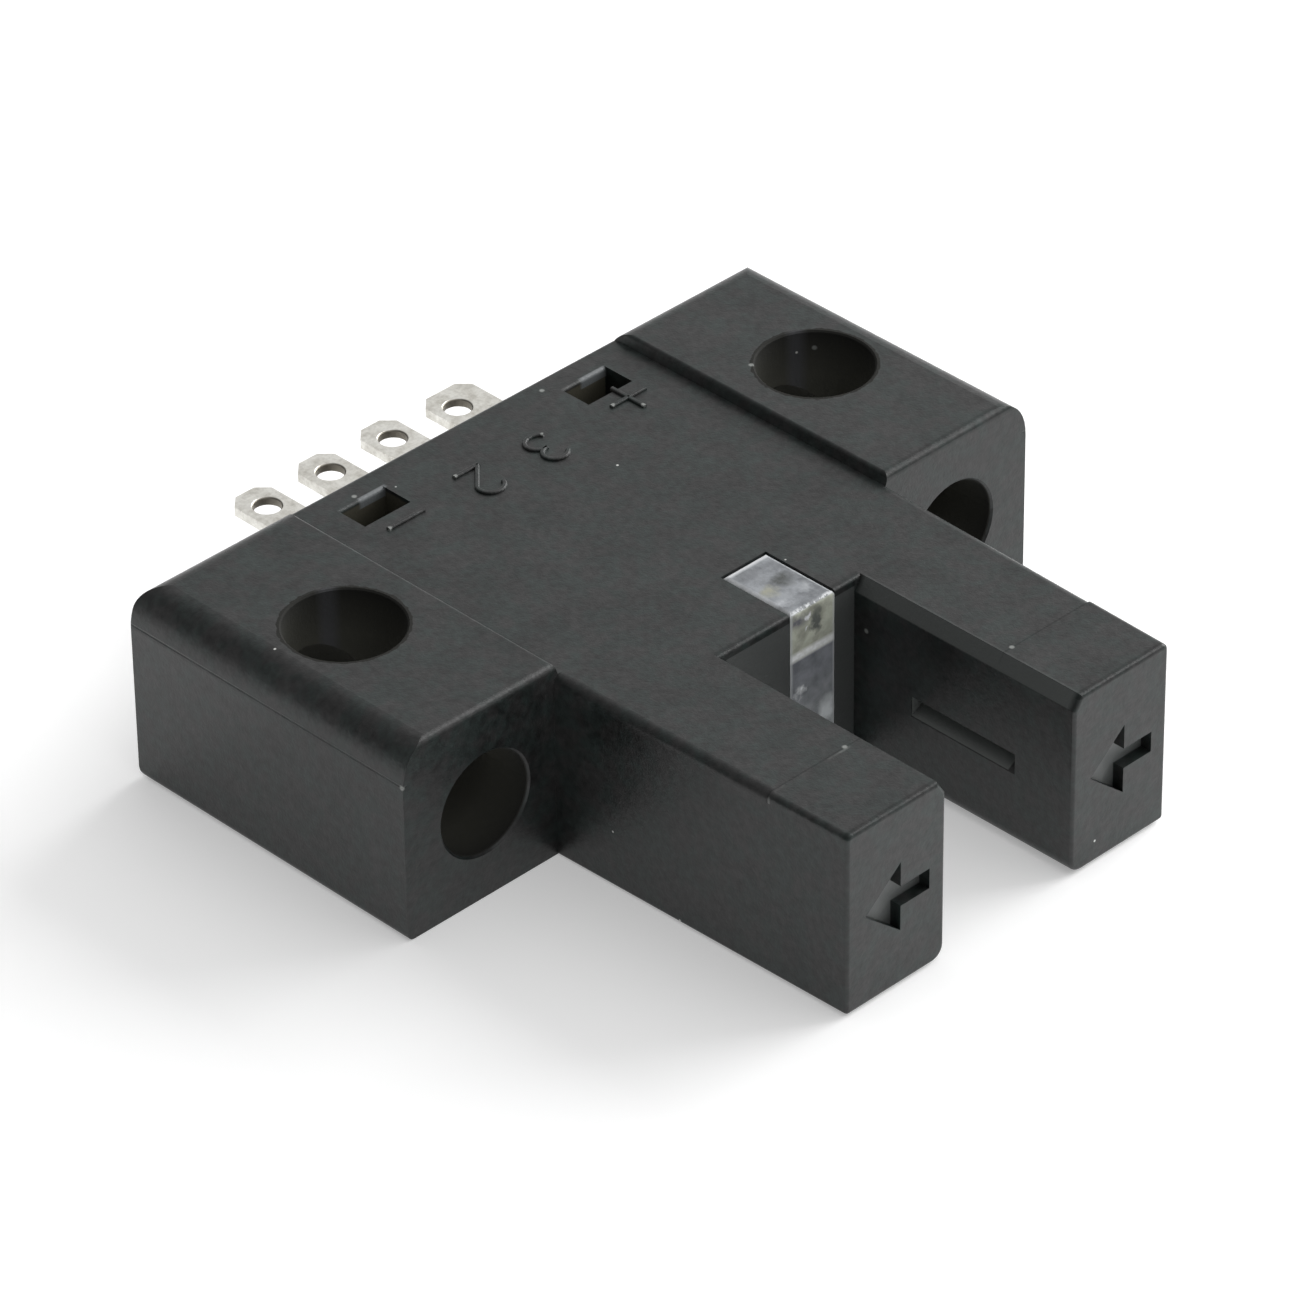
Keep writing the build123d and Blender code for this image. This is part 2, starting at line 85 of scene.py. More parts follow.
right, up, forward = camera_axes(heading, look_down, roll)
camera_data = bpy.data.cameras.new("photo_camera")
camera_data.sensor_width = 36
camera_data.lens = focal_pixels * camera_data.sensor_width / photo_side
camera_data.shift_x = (photo_side / 2 - straight_on[0]) / photo_side
camera_data.shift_y = (straight_on[1] - photo_side / 2) / photo_side
camera_data.clip_start = 0.01
camera = bpy.data.objects.new("photo_camera", camera_data)
turn = Matrix((right, up, -forward)).transposed().to_4x4()
camera.matrix_world = Matrix.Translation(camera_place) @ turn
bpy.context.scene.collection.objects.link(camera)
bpy.context.scene.camera = camera
print(f"lens {camera_data.lens:.1f} mm, shift {camera_data.shift_x:.4f}, {camera_data.shift_y:.4f}")

# %% [markdown]
# ## The studio
# Black plastic hardly shows its own colour. What the eye reads is the reflection of the room in its
# thin gloss, so the room is designed first. The photograph has no highlights: the rounded top edges
# are even a little darker than the faces beside them. So no lamp stands where those edges would
# mirror it. The sky is a soft gradient, brighter towards +X. One large card stands low on the +X side
# and lets the case shade the floor on its -X side, which the -X faces mirror and so turn darker,
# while the fronts mirror a bright floor. A weak card above evens out the roof. The floor is white
# paper on a light table, which keeps the shadow under the sensor pale.

# %% Floor and lights
paper_white = (0.84, 0.84, 0.84)
paper_roughness = 0.9
table_glow = 0.30
sky_middle = 0.50
sky_slope = 0.37
floor_radius = 1.5
floor_height = -0.02 * mm
floor_corners = 64
studio_target = Vector((0, -4, 3)) * mm
cards = [
    # name, direction from the sensor, distance and size in metres, radiance
    ("side_card", (0.90, -0.12, 0.45), 0.70, (0.62, 0.50), 6.0),
    ("top_card", (0.10, -0.40, 0.90), 0.70, (0.80, 0.70), 0.60),
]


def floor_disc(name, radius, height, corners):
    """A round floor: one face whose corners are (r cos a, r sin a, height) at equal angles a."""
    angles = np.linspace(0, 2 * np.pi, corners, endpoint=False)
    x, y = radius * np.cos(angles), radius * np.sin(angles)
    points = np.stack([x, y, np.full(corners, height)], axis=1)
    mesh = bpy.data.meshes.new(name)
    mesh.from_pydata(points.tolist(), [], [list(range(corners))])
    disc = bpy.data.objects.new(name, mesh)
    bpy.context.scene.collection.objects.link(disc)
    return disc


def plain_material(name, colour, roughness):
    """A Principled surface of one colour, the start of every finish below."""
    material = bpy.data.materials.new(name)
    material.use_nodes = True
    shader = material.node_tree.nodes["Principled BSDF"]
    shader.inputs["Base Color"].default_value = (*colour, 1)
    shader.inputs["Roughness"].default_value = roughness
    return material, shader


def soft_card(name, direction, distance, size, radiance):
    """A rectangular area light that faces the sensor. Its power is pi times area times radiance."""
    light = bpy.data.lights.new(name, "AREA")
    light.shape = "RECTANGLE"
    light.size, light.size_y = size
    light.energy = math.pi * size[0] * size[1] * radiance
    card = bpy.data.objects.new(name, light)
    away = Vector(direction).normalized()
    card.location = studio_target + away * distance
    card.rotation_euler = away.to_track_quat("Z", "Y").to_euler()
    bpy.context.scene.collection.objects.link(card)


def tent_sky(name, middle, slope):
    """A world of brightness middle + slope x, where x is how far a direction points to +X."""
    world = bpy.data.worlds.new(name)
    world.use_nodes = True
    tree = world.node_tree
    direction = tree.nodes.new("ShaderNodeTexCoord").outputs["Generated"]
    parts = tree.nodes.new("ShaderNodeSeparateXYZ")
    tree.links.new(direction, parts.inputs["Vector"])
    ramp = tree.nodes.new("ShaderNodeMapRange")
    ramp.inputs["From Min"].default_value, ramp.inputs["From Max"].default_value = -1, 1
    ramp.inputs["To Min"].default_value = middle - slope
    ramp.inputs["To Max"].default_value = middle + slope
    tree.links.new(parts.outputs["X"], ramp.inputs["Value"])
    tree.links.new(ramp.outputs["Result"], tree.nodes["Background"].inputs["Strength"])
    tree.nodes["Background"].inputs["Color"].default_value = (1, 1, 1, 1)
    return world


floor = floor_disc("studio_floor", floor_radius, floor_height, floor_corners)
floor_material, paper = plain_material("studio_paper", paper_white, paper_roughness)
paper.inputs["Emission Color"].default_value = (1, 1, 1, 1)
paper.inputs["Emission Strength"].default_value = table_glow
floor.data.materials.append(floor_material)

bpy.context.scene.world = tent_sky("studio_tent", sky_middle, sky_slope)
for card in cards:
    soft_card(*card)
bpy.context.scene.view_settings.view_transform = "Standard"
bpy.context.scene.view_settings.look = "None"

# %% [markdown]
# ## Raised marks on the roof
# Next to the terminals the mould leaves small raised strokes: a minus and a plus for the supply, and a
# character for each of the two other terminals, which are plain numerals here. Engraved text could be
# a text object, but a mould cutter works with one round-nosed tool along a path, so each mark is a
# profile carried along a path, with a flat back that sinks into the roof.

# %% Strokes for the marks
roof_top = 6.2 * mm
stroke_width = 0.16 * mm
stroke_height = 0.08 * mm
stroke_sink = 0.03 * mm
half_section = np.array([0.5, 0.46, 0.36, 0.2])  # from the foot to the top, in shares of the width
section_rise = np.array([0.55, 0.88, 1.0])  # above the roof, in shares of the height
arc_points = 14
bar_points = 5


def stroke_arc(centre, radius, start, end):
    """Points on an ellipse: centre + (rx cos t, ry sin t), t in degrees from start to end."""
    t = np.radians(np.linspace(start, end, arc_points))
    x = centre[0] + radius[0] * np.cos(t)
    y = centre[1] + radius[1] * np.sin(t)
    return np.stack([x, y], axis=1)


def stroke_mesh(path, width, height, sink):
    """Vertices and faces of one stroke.

    At each point of the path a section stands across the path's direction: it starts sunk in the
    roof, rises with a slight draft and ends in a rounded top. Rows of sections are joined by quads,
    and the two end sections are closed.
    """
    path = np.asarray(path, float)
    steps = np.gradient(path, axis=0)
    steps /= np.linalg.norm(steps, axis=1)[:, None]
    across = np.stack([-steps[:, 1], steps[:, 0]], axis=1)
    side = np.concatenate([-half_section, half_section[::-1]]) * width
    climb = section_rise * height
    rise = np.concatenate([[-sink], climb, climb[::-1], [-sink]])
    flat = path[:, None, :] + across[:, None, :] * side[None, :, None]
    z = np.broadcast_to(roof_top + rise, flat.shape[:2])
    points = np.concatenate([flat, z[..., None]], axis=2).reshape(-1, 3)
    rows, columns = flat.shape[:2]
    first = np.arange(rows - 1)[:, None] * columns
    here = np.arange(columns)[None, :]
    there = (here + 1) % columns
    a, b = first + here, first + there
    quads = np.stack([a, b, b + columns, a + columns], axis=2).reshape(-1, 4)
    ends = [list(range(columns))[::-1], list(range((rows - 1) * columns, rows * columns))]
    return points, quads.tolist() + ends


def mark_on_roof(name, strokes):
    """One raised mark from its strokes, whose paths are given in metres on the roof."""
    points, faces, start = [], [], 0
    for path in strokes:
        more, quads = stroke_mesh(path, stroke_width, stroke_height, stroke_sink)
        points.append(more)
        faces += [[i + start for i in face] for face in quads]
        start += len(more)
    mesh = bpy.data.meshes.new(name)
    mesh.from_pydata(np.concatenate(points).tolist(), [], faces)
    mesh.validate()
    mark = bpy.data.objects.new(name, mesh)
    bpy.context.scene.collection.objects.link(mark)
    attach(mark, "root")
    print(f"{name}: {len(mesh.vertices)} points")
    return mark


def bar(centre, reach):
    """A straight path in metres, from centre - reach to centre + reach in millimetres."""
    centre, reach = np.array(centre), np.array(reach)
    return np.linspace(centre - reach, centre + reach, bar_points) * mm


def numeral(centre, strokes):
    """Strokes in millimetres on an upright numeral, turned to be read from the terminal side."""
    return [(np.array(centre) - np.asarray(path)) * mm for path in strokes]


# %% Make the four marks
minus_centre = (-4.34, 2.98)
plus_centre = (4.67, 3.0)
two_centre = (-1.39, 2.85)
three_centre = (1.13, 2.80)
lengthwise, crosswise = (0.7, 0), (0, 0.7)
two = [
    np.concatenate([stroke_arc((0, 0.32), (0.42, 0.40), 165, -25), [(-0.44, -0.72)]]),
    np.linspace((-0.50, -0.72), (0.48, -0.72), bar_points),
]
three = [
    stroke_arc((0, 0.36), (0.40, 0.36), 150, -90),
    stroke_arc((0, -0.36), (0.44, 0.37), 90, -150),
]
marks = [
    mark_on_roof("mark_minus", [bar(minus_centre, lengthwise)]),
    mark_on_roof("mark_two", numeral(two_centre, two)),
    mark_on_roof("mark_three", numeral(three_centre, three)),
    mark_on_roof("mark_plus", [bar(plus_centre, lengthwise), bar(plus_centre, crosswise)]),
]

# %% [markdown]
# ## Materials from nodes
# Every finish below is a small network of shader nodes. Written node by node it would be long and
# hard to read, so a few short functions each add one step to a material and give back its result.


# %% Helpers for node materials
def add_node(material, kind, **values):
    """Adds one shader node and sets its properties and its unlinked inputs by name."""
    node = material.node_tree.nodes.new(kind)
    for name, value in values.items():
        if name in node.inputs:
            node.inputs[name].default_value = value
        else:
            setattr(node, name, value)
    return node


def join(material, start, end):
    """Links an output to an input."""
    material.node_tree.links.new(start, end)


def object_place(material):
    """The place on the part, in metres, with no stretching."""
    return add_node(material, "ShaderNodeTexCoord").outputs["Object"]


def clouds(material, place, size, detail=3.0):
    """Noise whose features measure size, in metres: the value lies between 0 and 1."""
    noise = add_node(material, "ShaderNodeTexNoise", Scale=1 / size, Detail=detail, Roughness=0.55)
    join(material, place, noise.inputs["Vector"])
    return noise.outputs["Fac"]


def spread(material, value, low, high, out_low, out_high):
    """Stretches a value from low..high to out_low..out_high and holds it there outside."""
    ramp = add_node(material, "ShaderNodeMapRange", clamp=True)
    ramp.inputs["From Min"].default_value, ramp.inputs["From Max"].default_value = low, high
    ramp.inputs["To Min"].default_value, ramp.inputs["To Max"].default_value = out_low, out_high
    join(material, value, ramp.inputs["Value"])
    return ramp.outputs["Result"]


def reckon(material, kind, first, second=0.0):
    """A Math node on one or two values, each a socket or a number."""
    node = add_node(material, "ShaderNodeMath", operation=kind)
    for socket, value in zip(node.inputs, (first, second)):
        if isinstance(value, (int, float)):
            socket.default_value = value
        else:
            join(material, value, socket)
    return node.outputs[0]


def weighted(material, *terms):
    """The sum of values, each given with its weight."""
    total = 0.0
    for value, weight in terms:
        total = reckon(material, "ADD", reckon(material, "MULTIPLY", value, weight), total)
    return total


def painted(material, under, mask, over):
    """The colour under, and the colour over where the mask is 1. Each is a socket or a colour."""
    mix = add_node(material, "ShaderNodeMix", data_type="RGBA")
    join(material, mask, mix.inputs["Factor"])
    colours = [s for s in mix.inputs if s.type == "RGBA"]
    for socket, colour in zip(colours, (under, over)):
        if isinstance(colour, tuple):
            socket.default_value = (*colour, 1)
        else:
            join(material, colour, socket)
    return [s for s in mix.outputs if s.type == "RGBA"][0]


def relief(material, shader, height, depth):
    """Bumps of up to depth metres from a height between 0 and 1."""
    bump = add_node(material, "ShaderNodeBump", Strength=1.0, Distance=depth)
    join(material, height, bump.inputs["Height"])
    join(material, bump.outputs["Normal"], shader.inputs["Normal"])


# %% [markdown]
# ## Zones on a solid
# A bore comes off a polished core pin, dust stays in corners, and an eyelet's wall gets painted
# shade. Such places could be painted on an unwrapped map, but Object coordinates are metres on the
# part, so a zone is only a few comparisons of x, y and z, and it stays sharp at any distance.


# %% Helpers for zones
def axes_of(material, place):
    """The three coordinates of a place as separate values."""
    parts = add_node(material, "ShaderNodeSeparateXYZ")
    join(material, place, parts.inputs["Vector"])
    return parts.outputs["X"], parts.outputs["Y"], parts.outputs["Z"]


def distance_of(material, first, second):
    """The distance sqrt(a a + b b) of two values."""
    squares = [reckon(material, "POWER", value, 2.0) for value in (first, second)]
    return reckon(material, "SQRT", reckon(material, "ADD", *squares))


def both(material, *masks):
    """Where all masks hold: their product."""
    found = masks[0]
    for mask in masks[1:]:
        found = reckon(material, "MULTIPLY", found, mask)
    return found


def either(material, *masks):
    """Where any mask holds: the largest of them."""
    found = masks[0]
    for mask in masks[1:]:
        found = reckon(material, "MAXIMUM", found, mask)
    return found


def near_value(material, value, target, half_width):
    """1 close to the target, from 0.3 of half_width away falling to 0 at half_width."""
    apart = reckon(material, "ABSOLUTE", reckon(material, "SUBTRACT", value, target))
    return spread(material, apart, 0.3 * half_width, half_width, 1.0, 0.0)


def within(material, value, low, high, soft):
    """1 between low and high, falling to 0 over the distance soft outside, in millimetres.

    None is no limit on that side, and a soft of 0 makes the limit sharp.
    """
    masks = []
    if low is not None and soft:
        masks.append(spread(material, value, (low - soft) * mm, low * mm, 0.0, 1.0))
    elif low is not None:
        masks.append(reckon(material, "GREATER_THAN", value, low * mm))
    if high is not None and soft:
        masks.append(spread(material, value, high * mm, (high + soft) * mm, 1.0, 0.0))
    elif high is not None:
        masks.append(reckon(material, "LESS_THAN", value, high * mm))
    return both(material, *masks)


def zone(material, at, limits):
    """Where all limits hold. They give (low, high, soft) in millimetres for coordinates by name."""
    return both(material, *[within(material, at[name], *limit) for name, limit in limits.items()])


def round_spot(material, first, second, centre, radii):
    """An ellipse in two coordinates: 1 in the inner quarter of its radii, 0 at its rim."""
    shares = [
        reckon(material, "DIVIDE", reckon(material, "SUBTRACT", value, middle * mm), radius * mm)
        for value, middle, radius in zip((first, second), centre, radii)
    ]
    return spread(material, distance_of(material, *shares), 0.25, 1.0, 1.0, 0.0)


def ball_spot(material, place, centre, radius):
    """A small ball: 1 in its inner half, falling to 0 at its radius, both given in millimetres."""
    apart = add_node(material, "ShaderNodeVectorMath", operation="DISTANCE")
    join(material, place, apart.inputs[0])
    apart.inputs[1].default_value = [value * mm for value in centre]
    return spread(material, apart.outputs["Value"], 0.5 * radius * mm, radius * mm, 1.0, 0.0)


def dust(material, place, spacing, radius, share):
    """Specks: the cells of a Voronoi pattern hold one speck each, and only a share of them shows."""
    cells = add_node(material, "ShaderNodeTexVoronoi", Scale=1 / spacing)
    join(material, place, cells.inputs["Vector"])
    rim = radius / spacing
    speck = spread(material, cells.outputs["Distance"], 0.5 * rim, rim, 1.0, 0.0)
    parts = add_node(material, "ShaderNodeSeparateColor")
    join(material, cells.outputs["Color"], parts.inputs["Color"])
    chosen = reckon(material, "LESS_THAN", parts.outputs["Red"], share)
    return both(material, speck, chosen)


# %% [markdown]
# ## Black moulded plastic
# The case is a glass-filled plastic from a spark-eroded mould. Its colour is nearly black, its gloss
# is satin, and close up it shows a fine mottle, faint flow clouds and a few specks of dust. The walls
# of the bores come from smooth core pins. They get little light, so their colour is painted lighter
# in the depth than at the mouth, as painted light, to read as one even dark grey. A faint painted
# highlight runs down each upright bore. The mould's seams are a groove along the wings and a broken
# painted highlight across the fork, where a small ridge would catch the light, and a few light nibs
# stand where the mould let go. Painted light also lightens the slot's rear wall and the bevel of its
# +X prong, the pockets, the floors of the arrows and the mouths of the beam slits.

# %% Tones of the case
case_dark = (0.0015, 0.0015, 0.0015)
case_light = (0.0270, 0.0270, 0.0270)
green_dark = (0.0008, 0.0020, 0.0018)
green_light = (0.0200, 0.0295, 0.0275)
# painted light: the bores' walls are lighter in the depth than at the mouth, and a painted highlight
# runs down each upright bore
bore_deep_painted_light = (0.076, 0.076, 0.064)
bore_mouth_painted_light = (0.019, 0.019, 0.017)
bore_highlight_deep = (0.090, 0.092, 0.096)
bore_highlight_mouth = (0.048, 0.049, 0.052)
beam_mouth_painted_light = (0.13, 0.14, 0.135)
bevel_painted_light = (0.070, 0.076, 0.074)
root_wall_painted_light = (0.052, 0.056, 0.055)
dust_white = (0.62, 0.62, 0.60)
# light grey of the nibs, and of the painted highlight beside the fork's seam
nib_and_highlight_grey = (0.22, 0.23, 0.22)
latch_painted_light = (0.085, 0.082, 0.072)
pocket_wall_painted_light = (0.070, 0.066, 0.050)
pocket_lip_painted_light = (0.13, 0.14, 0.145)
arrow_floor_painted_light = (0.105, 0.112, 0.110)

plastic_ior = 1.50
case_roughness = 0.38
cover_roughness = 0.44
grain_size = 0.09 * mm
mottle_size = 0.24 * mm
hue_size = 0.7 * mm
flow_size = 1.6 * mm
mottle_share = 0.62
relief_depth = 0.012 * mm
full_gloss, dull_gloss = 0.5, 0.18
edge_dullness = 0.55
bore_extra_roughness = 0.45
dust_spacing, dust_radius, dust_share = 1.7 * mm, 0.05 * mm, 0.16

# %% Places on the case
bore_pitch = 19.0 * mm
lying_bore_z = 3.2 * mm
rim_wander = 0.03 * mm
# in millimetres: a wall zone ends between two radii, and a mouth zone lies between two distances
# from the middle plane in y, or between two heights in z
wall_radii = {"upright": (1.92, 1.95), "lying": (1.66, 1.69)}
mouth_limits = {"front and rear": (4.2, 5.6), "top": (5.0, 6.45), "bottom": (0.1, 1.5)}
# where the painted highlight runs down each upright bore
bore_highlight_centre, bore_highlight_radii = (0.82, 1.60), (0.40, 0.40)
wing_seam_z = 5.33 * mm
fork_seam_y = -13.875 * mm
seam_half = 0.045 * mm
# the painted highlight beside the fork's seam, where a small ridge would catch the light
seam_highlight_shift, seam_highlight_half = 0.07 * mm, 0.06 * mm
latch_foot, latch_head = 3.6 * mm, 3.8 * mm
side_face, top_face, nib_radius = 12.45, 5.9, 0.10  # in millimetres, like the tables below

# Each zone is given by its limits (low, high, soft edge) in millimetres, where aside is the
# distance from the middle of the sensor. The colour of every zone is painted light.
painted_light_zones = [
    # the slot's bevel on the +X prong, painted lighter: painted light
    (bevel_painted_light, {"x": (2.62, 2.95, 0.03), "y": (-16.55, -8.5, 0.2), "z": (5.76, 6.18, 0.03)}),
    # the walls of the two pockets, and their rear lips, painted lighter: painted light
    (pocket_wall_painted_light, {"aside": (3.40, 5.34, 0.02), "y": (3.50, 4.74, 0.02), "z": (4.6, 6.04, 0.08)}),
    (pocket_lip_painted_light, {"x": (-4.52, -3.60, 0.12), "y": (4.67, 4.78, 0.04), "z": (5.9, 6.25, 0.02)}),
    (pocket_lip_painted_light, {"x": (4.42, 5.30, 0.12), "y": (4.67, 4.78, 0.04), "z": (5.9, 6.25, 0.02)}),
    # the floors of the arrows in the tips, painted as light as the tip's face: painted light
    (arrow_floor_painted_light, {"aside": (3.2, 6.4, 0.02), "y": (-16.49, -16.46, 0.01), "z": (1.7, 4.5, 0.02)}),
    # the slot's rear wall, painted lighter: painted light
    (root_wall_painted_light, {"aside": (None, 2.57, 0.03), "y": (-8.36, -8.28, 0.02), "z": (None, 5.95, 0)}),
    # the mouths of the beam slits, painted lighter where they lie in shade: painted light
    (
        beam_mouth_painted_light,
        {"aside": (2.64, 3.2, 0.02), "y": (-14.35, -10.5, 0.05), "z": (2.4, 3.3, 0.02)},
    ),
]
dull_edges = [
    # the front top edge of the +X wing, the top edges of the tips, the edge at the slot's root
    {"x": (0.0, None, 0), "y": (-5.72, -5.40, 0.08), "z": (6.42, None, 0)},
    {"y": (-16.95, -16.70, 0.06), "z": (6.06, None, 0)},
    {"aside": (None, 2.9, 0), "y": (-8.42, -8.14, 0.10), "z": (5.95, None, 0)},
]
nib_places = [
    (-5.02, 2.94, 6.27),
    (-4.55, 4.95, 6.20),
    (4.02, 3.00, 6.28),
    (4.67, 2.35, 6.28),
    (1.50, 3.34, 6.28),
    (-1.84, 3.57, 6.28),
    (3.17, 5.12, 6.20),
    (-12.60, -5.62, 5.30),
    (8.12, 1.30, 6.55),
    (10.77, 1.27, 5.95),
    (3.25, -13.86, 6.18),
    (-3.50, -13.86, 6.18),
    (2.60, -8.80, 4.60),
]


# %% Black plastic
def bore_zones(material, x, y, z, uneven):
    """The bores' walls, how near they are to a mouth, and the painted highlight down each upright
    bore.

    The axes stand at x = +-9.5 mm, so x less sign(x) 9.5 mm is measured from the nearer one. The
    rim's radius wanders by 0.03 mm with the uneven value, which lies between 0 and 1.
    """
    axis_x = reckon(material, "MULTIPLY", reckon(material, "SIGN", x), bore_pitch / 2)
    from_axis = reckon(material, "SUBTRACT", x, axis_x)
    wander = spread(material, uneven, 0.3, 0.7, -rim_wander, rim_wander)
    upright = reckon(material, "ADD", distance_of(material, from_axis, y), wander)
    lying = distance_of(material, from_axis, reckon(material, "SUBTRACT", z, lying_bore_z))
    walls = []
    for name, radius in (("upright", upright), ("lying", lying)):
        inner, outer = wall_radii[name]
        walls.append(spread(material, radius, inner * mm, outer * mm, 1.0, 0.0))
    mouths = []
    depth_y = reckon(material, "ABSOLUTE", y)
    for name, value, ends in (
        ("front and rear", depth_y, (0.0, 1.0)),
        ("top", z, (0.0, 1.0)),
        ("bottom", z, (1.0, 0.0)),
    ):
        low, high = mouth_limits[name]
        mouths.append(spread(material, value, low * mm, high * mm, *ends))
    bore_highlight = round_spot(material, from_axis, y, bore_highlight_centre, bore_highlight_radii)
    return either(material, *walls), either(material, *mouths), bore_highlight


def case_details(material, place, colour, flow, mottle):
    """What only the case has: its colour with its painted light, the wings' seam, the bores' walls and
    the dull places.
    """
    x, y, z = axes_of(material, place)
    at = {"x": x, "y": y, "z": z, "aside": reckon(material, "ABSOLUTE", x)}
    on_sides = within(material, at["aside"], side_face, None, 0)
    on_top = within(material, z, top_face, None, 0)
    wing_seam = both(material, near_value(material, z, wing_seam_z, seam_half), on_sides)
    fork_seam = both(material, near_value(material, y, fork_seam_y, seam_half), on_top)
    # a broken painted highlight across the roof beside the fork's seam
    seam_highlight = near_value(material, y, fork_seam_y - seam_highlight_shift, seam_highlight_half)
    broken = spread(material, flow, 0.52, 0.60, 0.0, 0.4)
    colour = painted(material, colour, both(material, seam_highlight, on_top, broken), nib_and_highlight_grey)
    for tone, limits in painted_light_zones:
        colour = painted(material, colour, zone(material, at, limits), tone)
    edges = either(material, fork_seam, *[zone(material, at, limits) for limits in dull_edges])
    walls, mouths, bore_highlight = bore_zones(material, x, y, z, mottle)
    dull = either(material, reckon(material, "MULTIPLY", edges, edge_dullness), walls)
    # the bores' walls get painted light, lighter in the depth, with a painted highlight down each
    # upright bore
    bore_wall_painted_light = painted(material, bore_deep_painted_light, mouths, bore_mouth_painted_light)
    bore_highlight_colour = painted(material, bore_highlight_deep, mouths, bore_highlight_mouth)
    bore_wall_painted_light = painted(material, bore_wall_painted_light, bore_highlight, bore_highlight_colour)
    colour = painted(material, colour, walls, bore_wall_painted_light)
    for spot in nib_places:
        nib = ball_spot(material, place, spot, nib_radius)
        colour = painted(material, colour, nib, nib_and_highlight_grey)
    return colour, wing_seam, walls, dull


def black_plastic(name, roughness, is_case):
    """Satin black moulding, mottled in colour, gloss and relief, with the details of case or cover."""
    material, shader = plain_material(name, case_dark, roughness)
    shader.inputs["IOR"].default_value = plastic_ior
    place = object_place(material)
    grain = clouds(material, place, grain_size, 2.0)
    mottle = clouds(material, place, mottle_size, 2.0)
    flow = clouds(material, place, flow_size, 4.0)
    tone = weighted(
        material,
        (spread(material, mottle, 0.28, 0.72, 0, 1), mottle_share),
        (spread(material, flow, 0.3, 0.7, 0, 1), 1 - mottle_share),
    )
    hue = spread(material, clouds(material, place, hue_size, 2.0), 0.42, 0.58, 0, 1)
    grey = painted(material, case_dark, tone, case_light)
    green = painted(material, green_dark, tone, green_light)
    colour = painted(material, grey, hue, green)
    height = weighted(material, (grain, 0.5), (mottle, 0.5))
    gloss = spread(material, flow, 0.25, 0.75, roughness - 0.04, roughness + 0.05)
    if is_case:
        colour, wing_seam, walls, dull = case_details(material, place, colour, flow, mottle)
        height = reckon(material, "SUBTRACT", height, wing_seam)
        gloss = weighted(material, (gloss, 1.0), (walls, bore_extra_roughness))
        shine = spread(material, dull, 0, 1, full_gloss, dull_gloss)
        join(material, shine, shader.inputs["Specular IOR Level"])
    else:
        # the latches seen through the pockets are painted lighter: painted light
        on_latches = spread(material, axes_of(material, place)[2], latch_foot, latch_head, 0.0, 1.0)
        colour = painted(material, colour, on_latches, latch_painted_light)
    specks = dust(material, place, dust_spacing, dust_radius, dust_share)
    join(material, painted(material, colour, specks, dust_white), shader.inputs["Base Color"])
    join(material, gloss, shader.inputs["Roughness"])
    relief(material, shader, height, relief_depth)
    return material


finishes = {
    "black_plastic": black_plastic("case_plastic", case_roughness, True),
    "cover_plastic": black_plastic("cover_plastic", cover_roughness, False),
}
for mark in marks:
    mark.data.materials.append(finishes["black_plastic"])

# %% [markdown]
# ## Clear light pipe
# The window over the lamp is clear polycarbonate, and what shows of it is an L of two plates. A fully
# clear one would show only the dark case behind it. The real one is hazy and full of small
# reflections from its inner faces: bright rims, a bright band where the upper plate ends, and a few
# sparks. Tracing them would need the exact inner polish, so they are laid in as pale zones of a
# slightly clear plastic, after the photograph's own angle.

# %% Tones and places of the light pipe
pipe_ior = 1.58
pipe_clearness = 0.15
pipe_relief = 0.006 * mm
pipe_left, pipe_right = -0.025 * mm, 1.775 * mm
pipe_front, pipe_rear = -8.325 * mm, -5.575 * mm
upper_plate_z = 4.47 * mm
band_z, band_half = 4.63 * mm, 0.20 * mm
warp_reach, sway_reach = 0.16 * mm, 0.12 * mm
top_tones = ((0.145, 0.155, 0.168), (0.335, 0.353, 0.376))
upper_tones = ((0.30, 0.31, 0.26), (0.56, 0.58, 0.49))
# painted light: the wall under the upper plate turns lighter towards the bottom
bottom_painted_light_tones = ((0.27, 0.285, 0.30), (0.42, 0.44, 0.46))
lower_tones = ((0.17, 0.18, 0.20), (0.29, 0.305, 0.335))
rim_light = (0.84, 0.86, 0.88)
band_light = (0.95, 0.97, 0.98)
side_light, side_strength = (0.50, 0.52, 0.53), 0.65

# Each patch is a centre, two radii, in millimetres, and a colour: in x and y on the top, in x and z
# on the front.
top_patches = [
    ((1.12, -6.87), (0.52, 0.42), (0.060, 0.066, 0.062)),
    ((0.40, -7.00), (0.42, 0.34), (0.36, 0.36, 0.28)),
    ((0.25, -7.70), (0.34, 0.30), (0.48, 0.50, 0.53)),
    ((1.30, -7.62), (0.42, 0.30), (0.42, 0.44, 0.46)),
    ((0.60, -6.05), (0.60, 0.26), (0.20, 0.21, 0.225)),
]
front_patches = [
    ((0.36, 5.85), (0.42, 0.34), (0.16, 0.16, 0.18)),
    ((1.03, 5.50), (0.24, 0.55), (0.13, 0.14, 0.13)),
    ((1.48, 5.15), (0.30, 0.46), (0.44, 0.46, 0.39)),
    ((0.68, 5.76), (0.12, 0.13), (0.80, 0.82, 0.86)),
    ((0.68, 5.40), (0.09, 0.12), (0.78, 0.80, 0.84)),
    ((0.45, 3.39), (0.26, 0.26), (0.95, 0.98, 1.0)),
    ((1.45, 2.15), (0.50, 0.60), (0.80, 0.84, 0.86)),
]


# %% Light pipe
def hazy(material, tones, haze):
    """A colour that wanders between two tones with the haze."""
    return painted(material, tones[0], haze, tones[1])


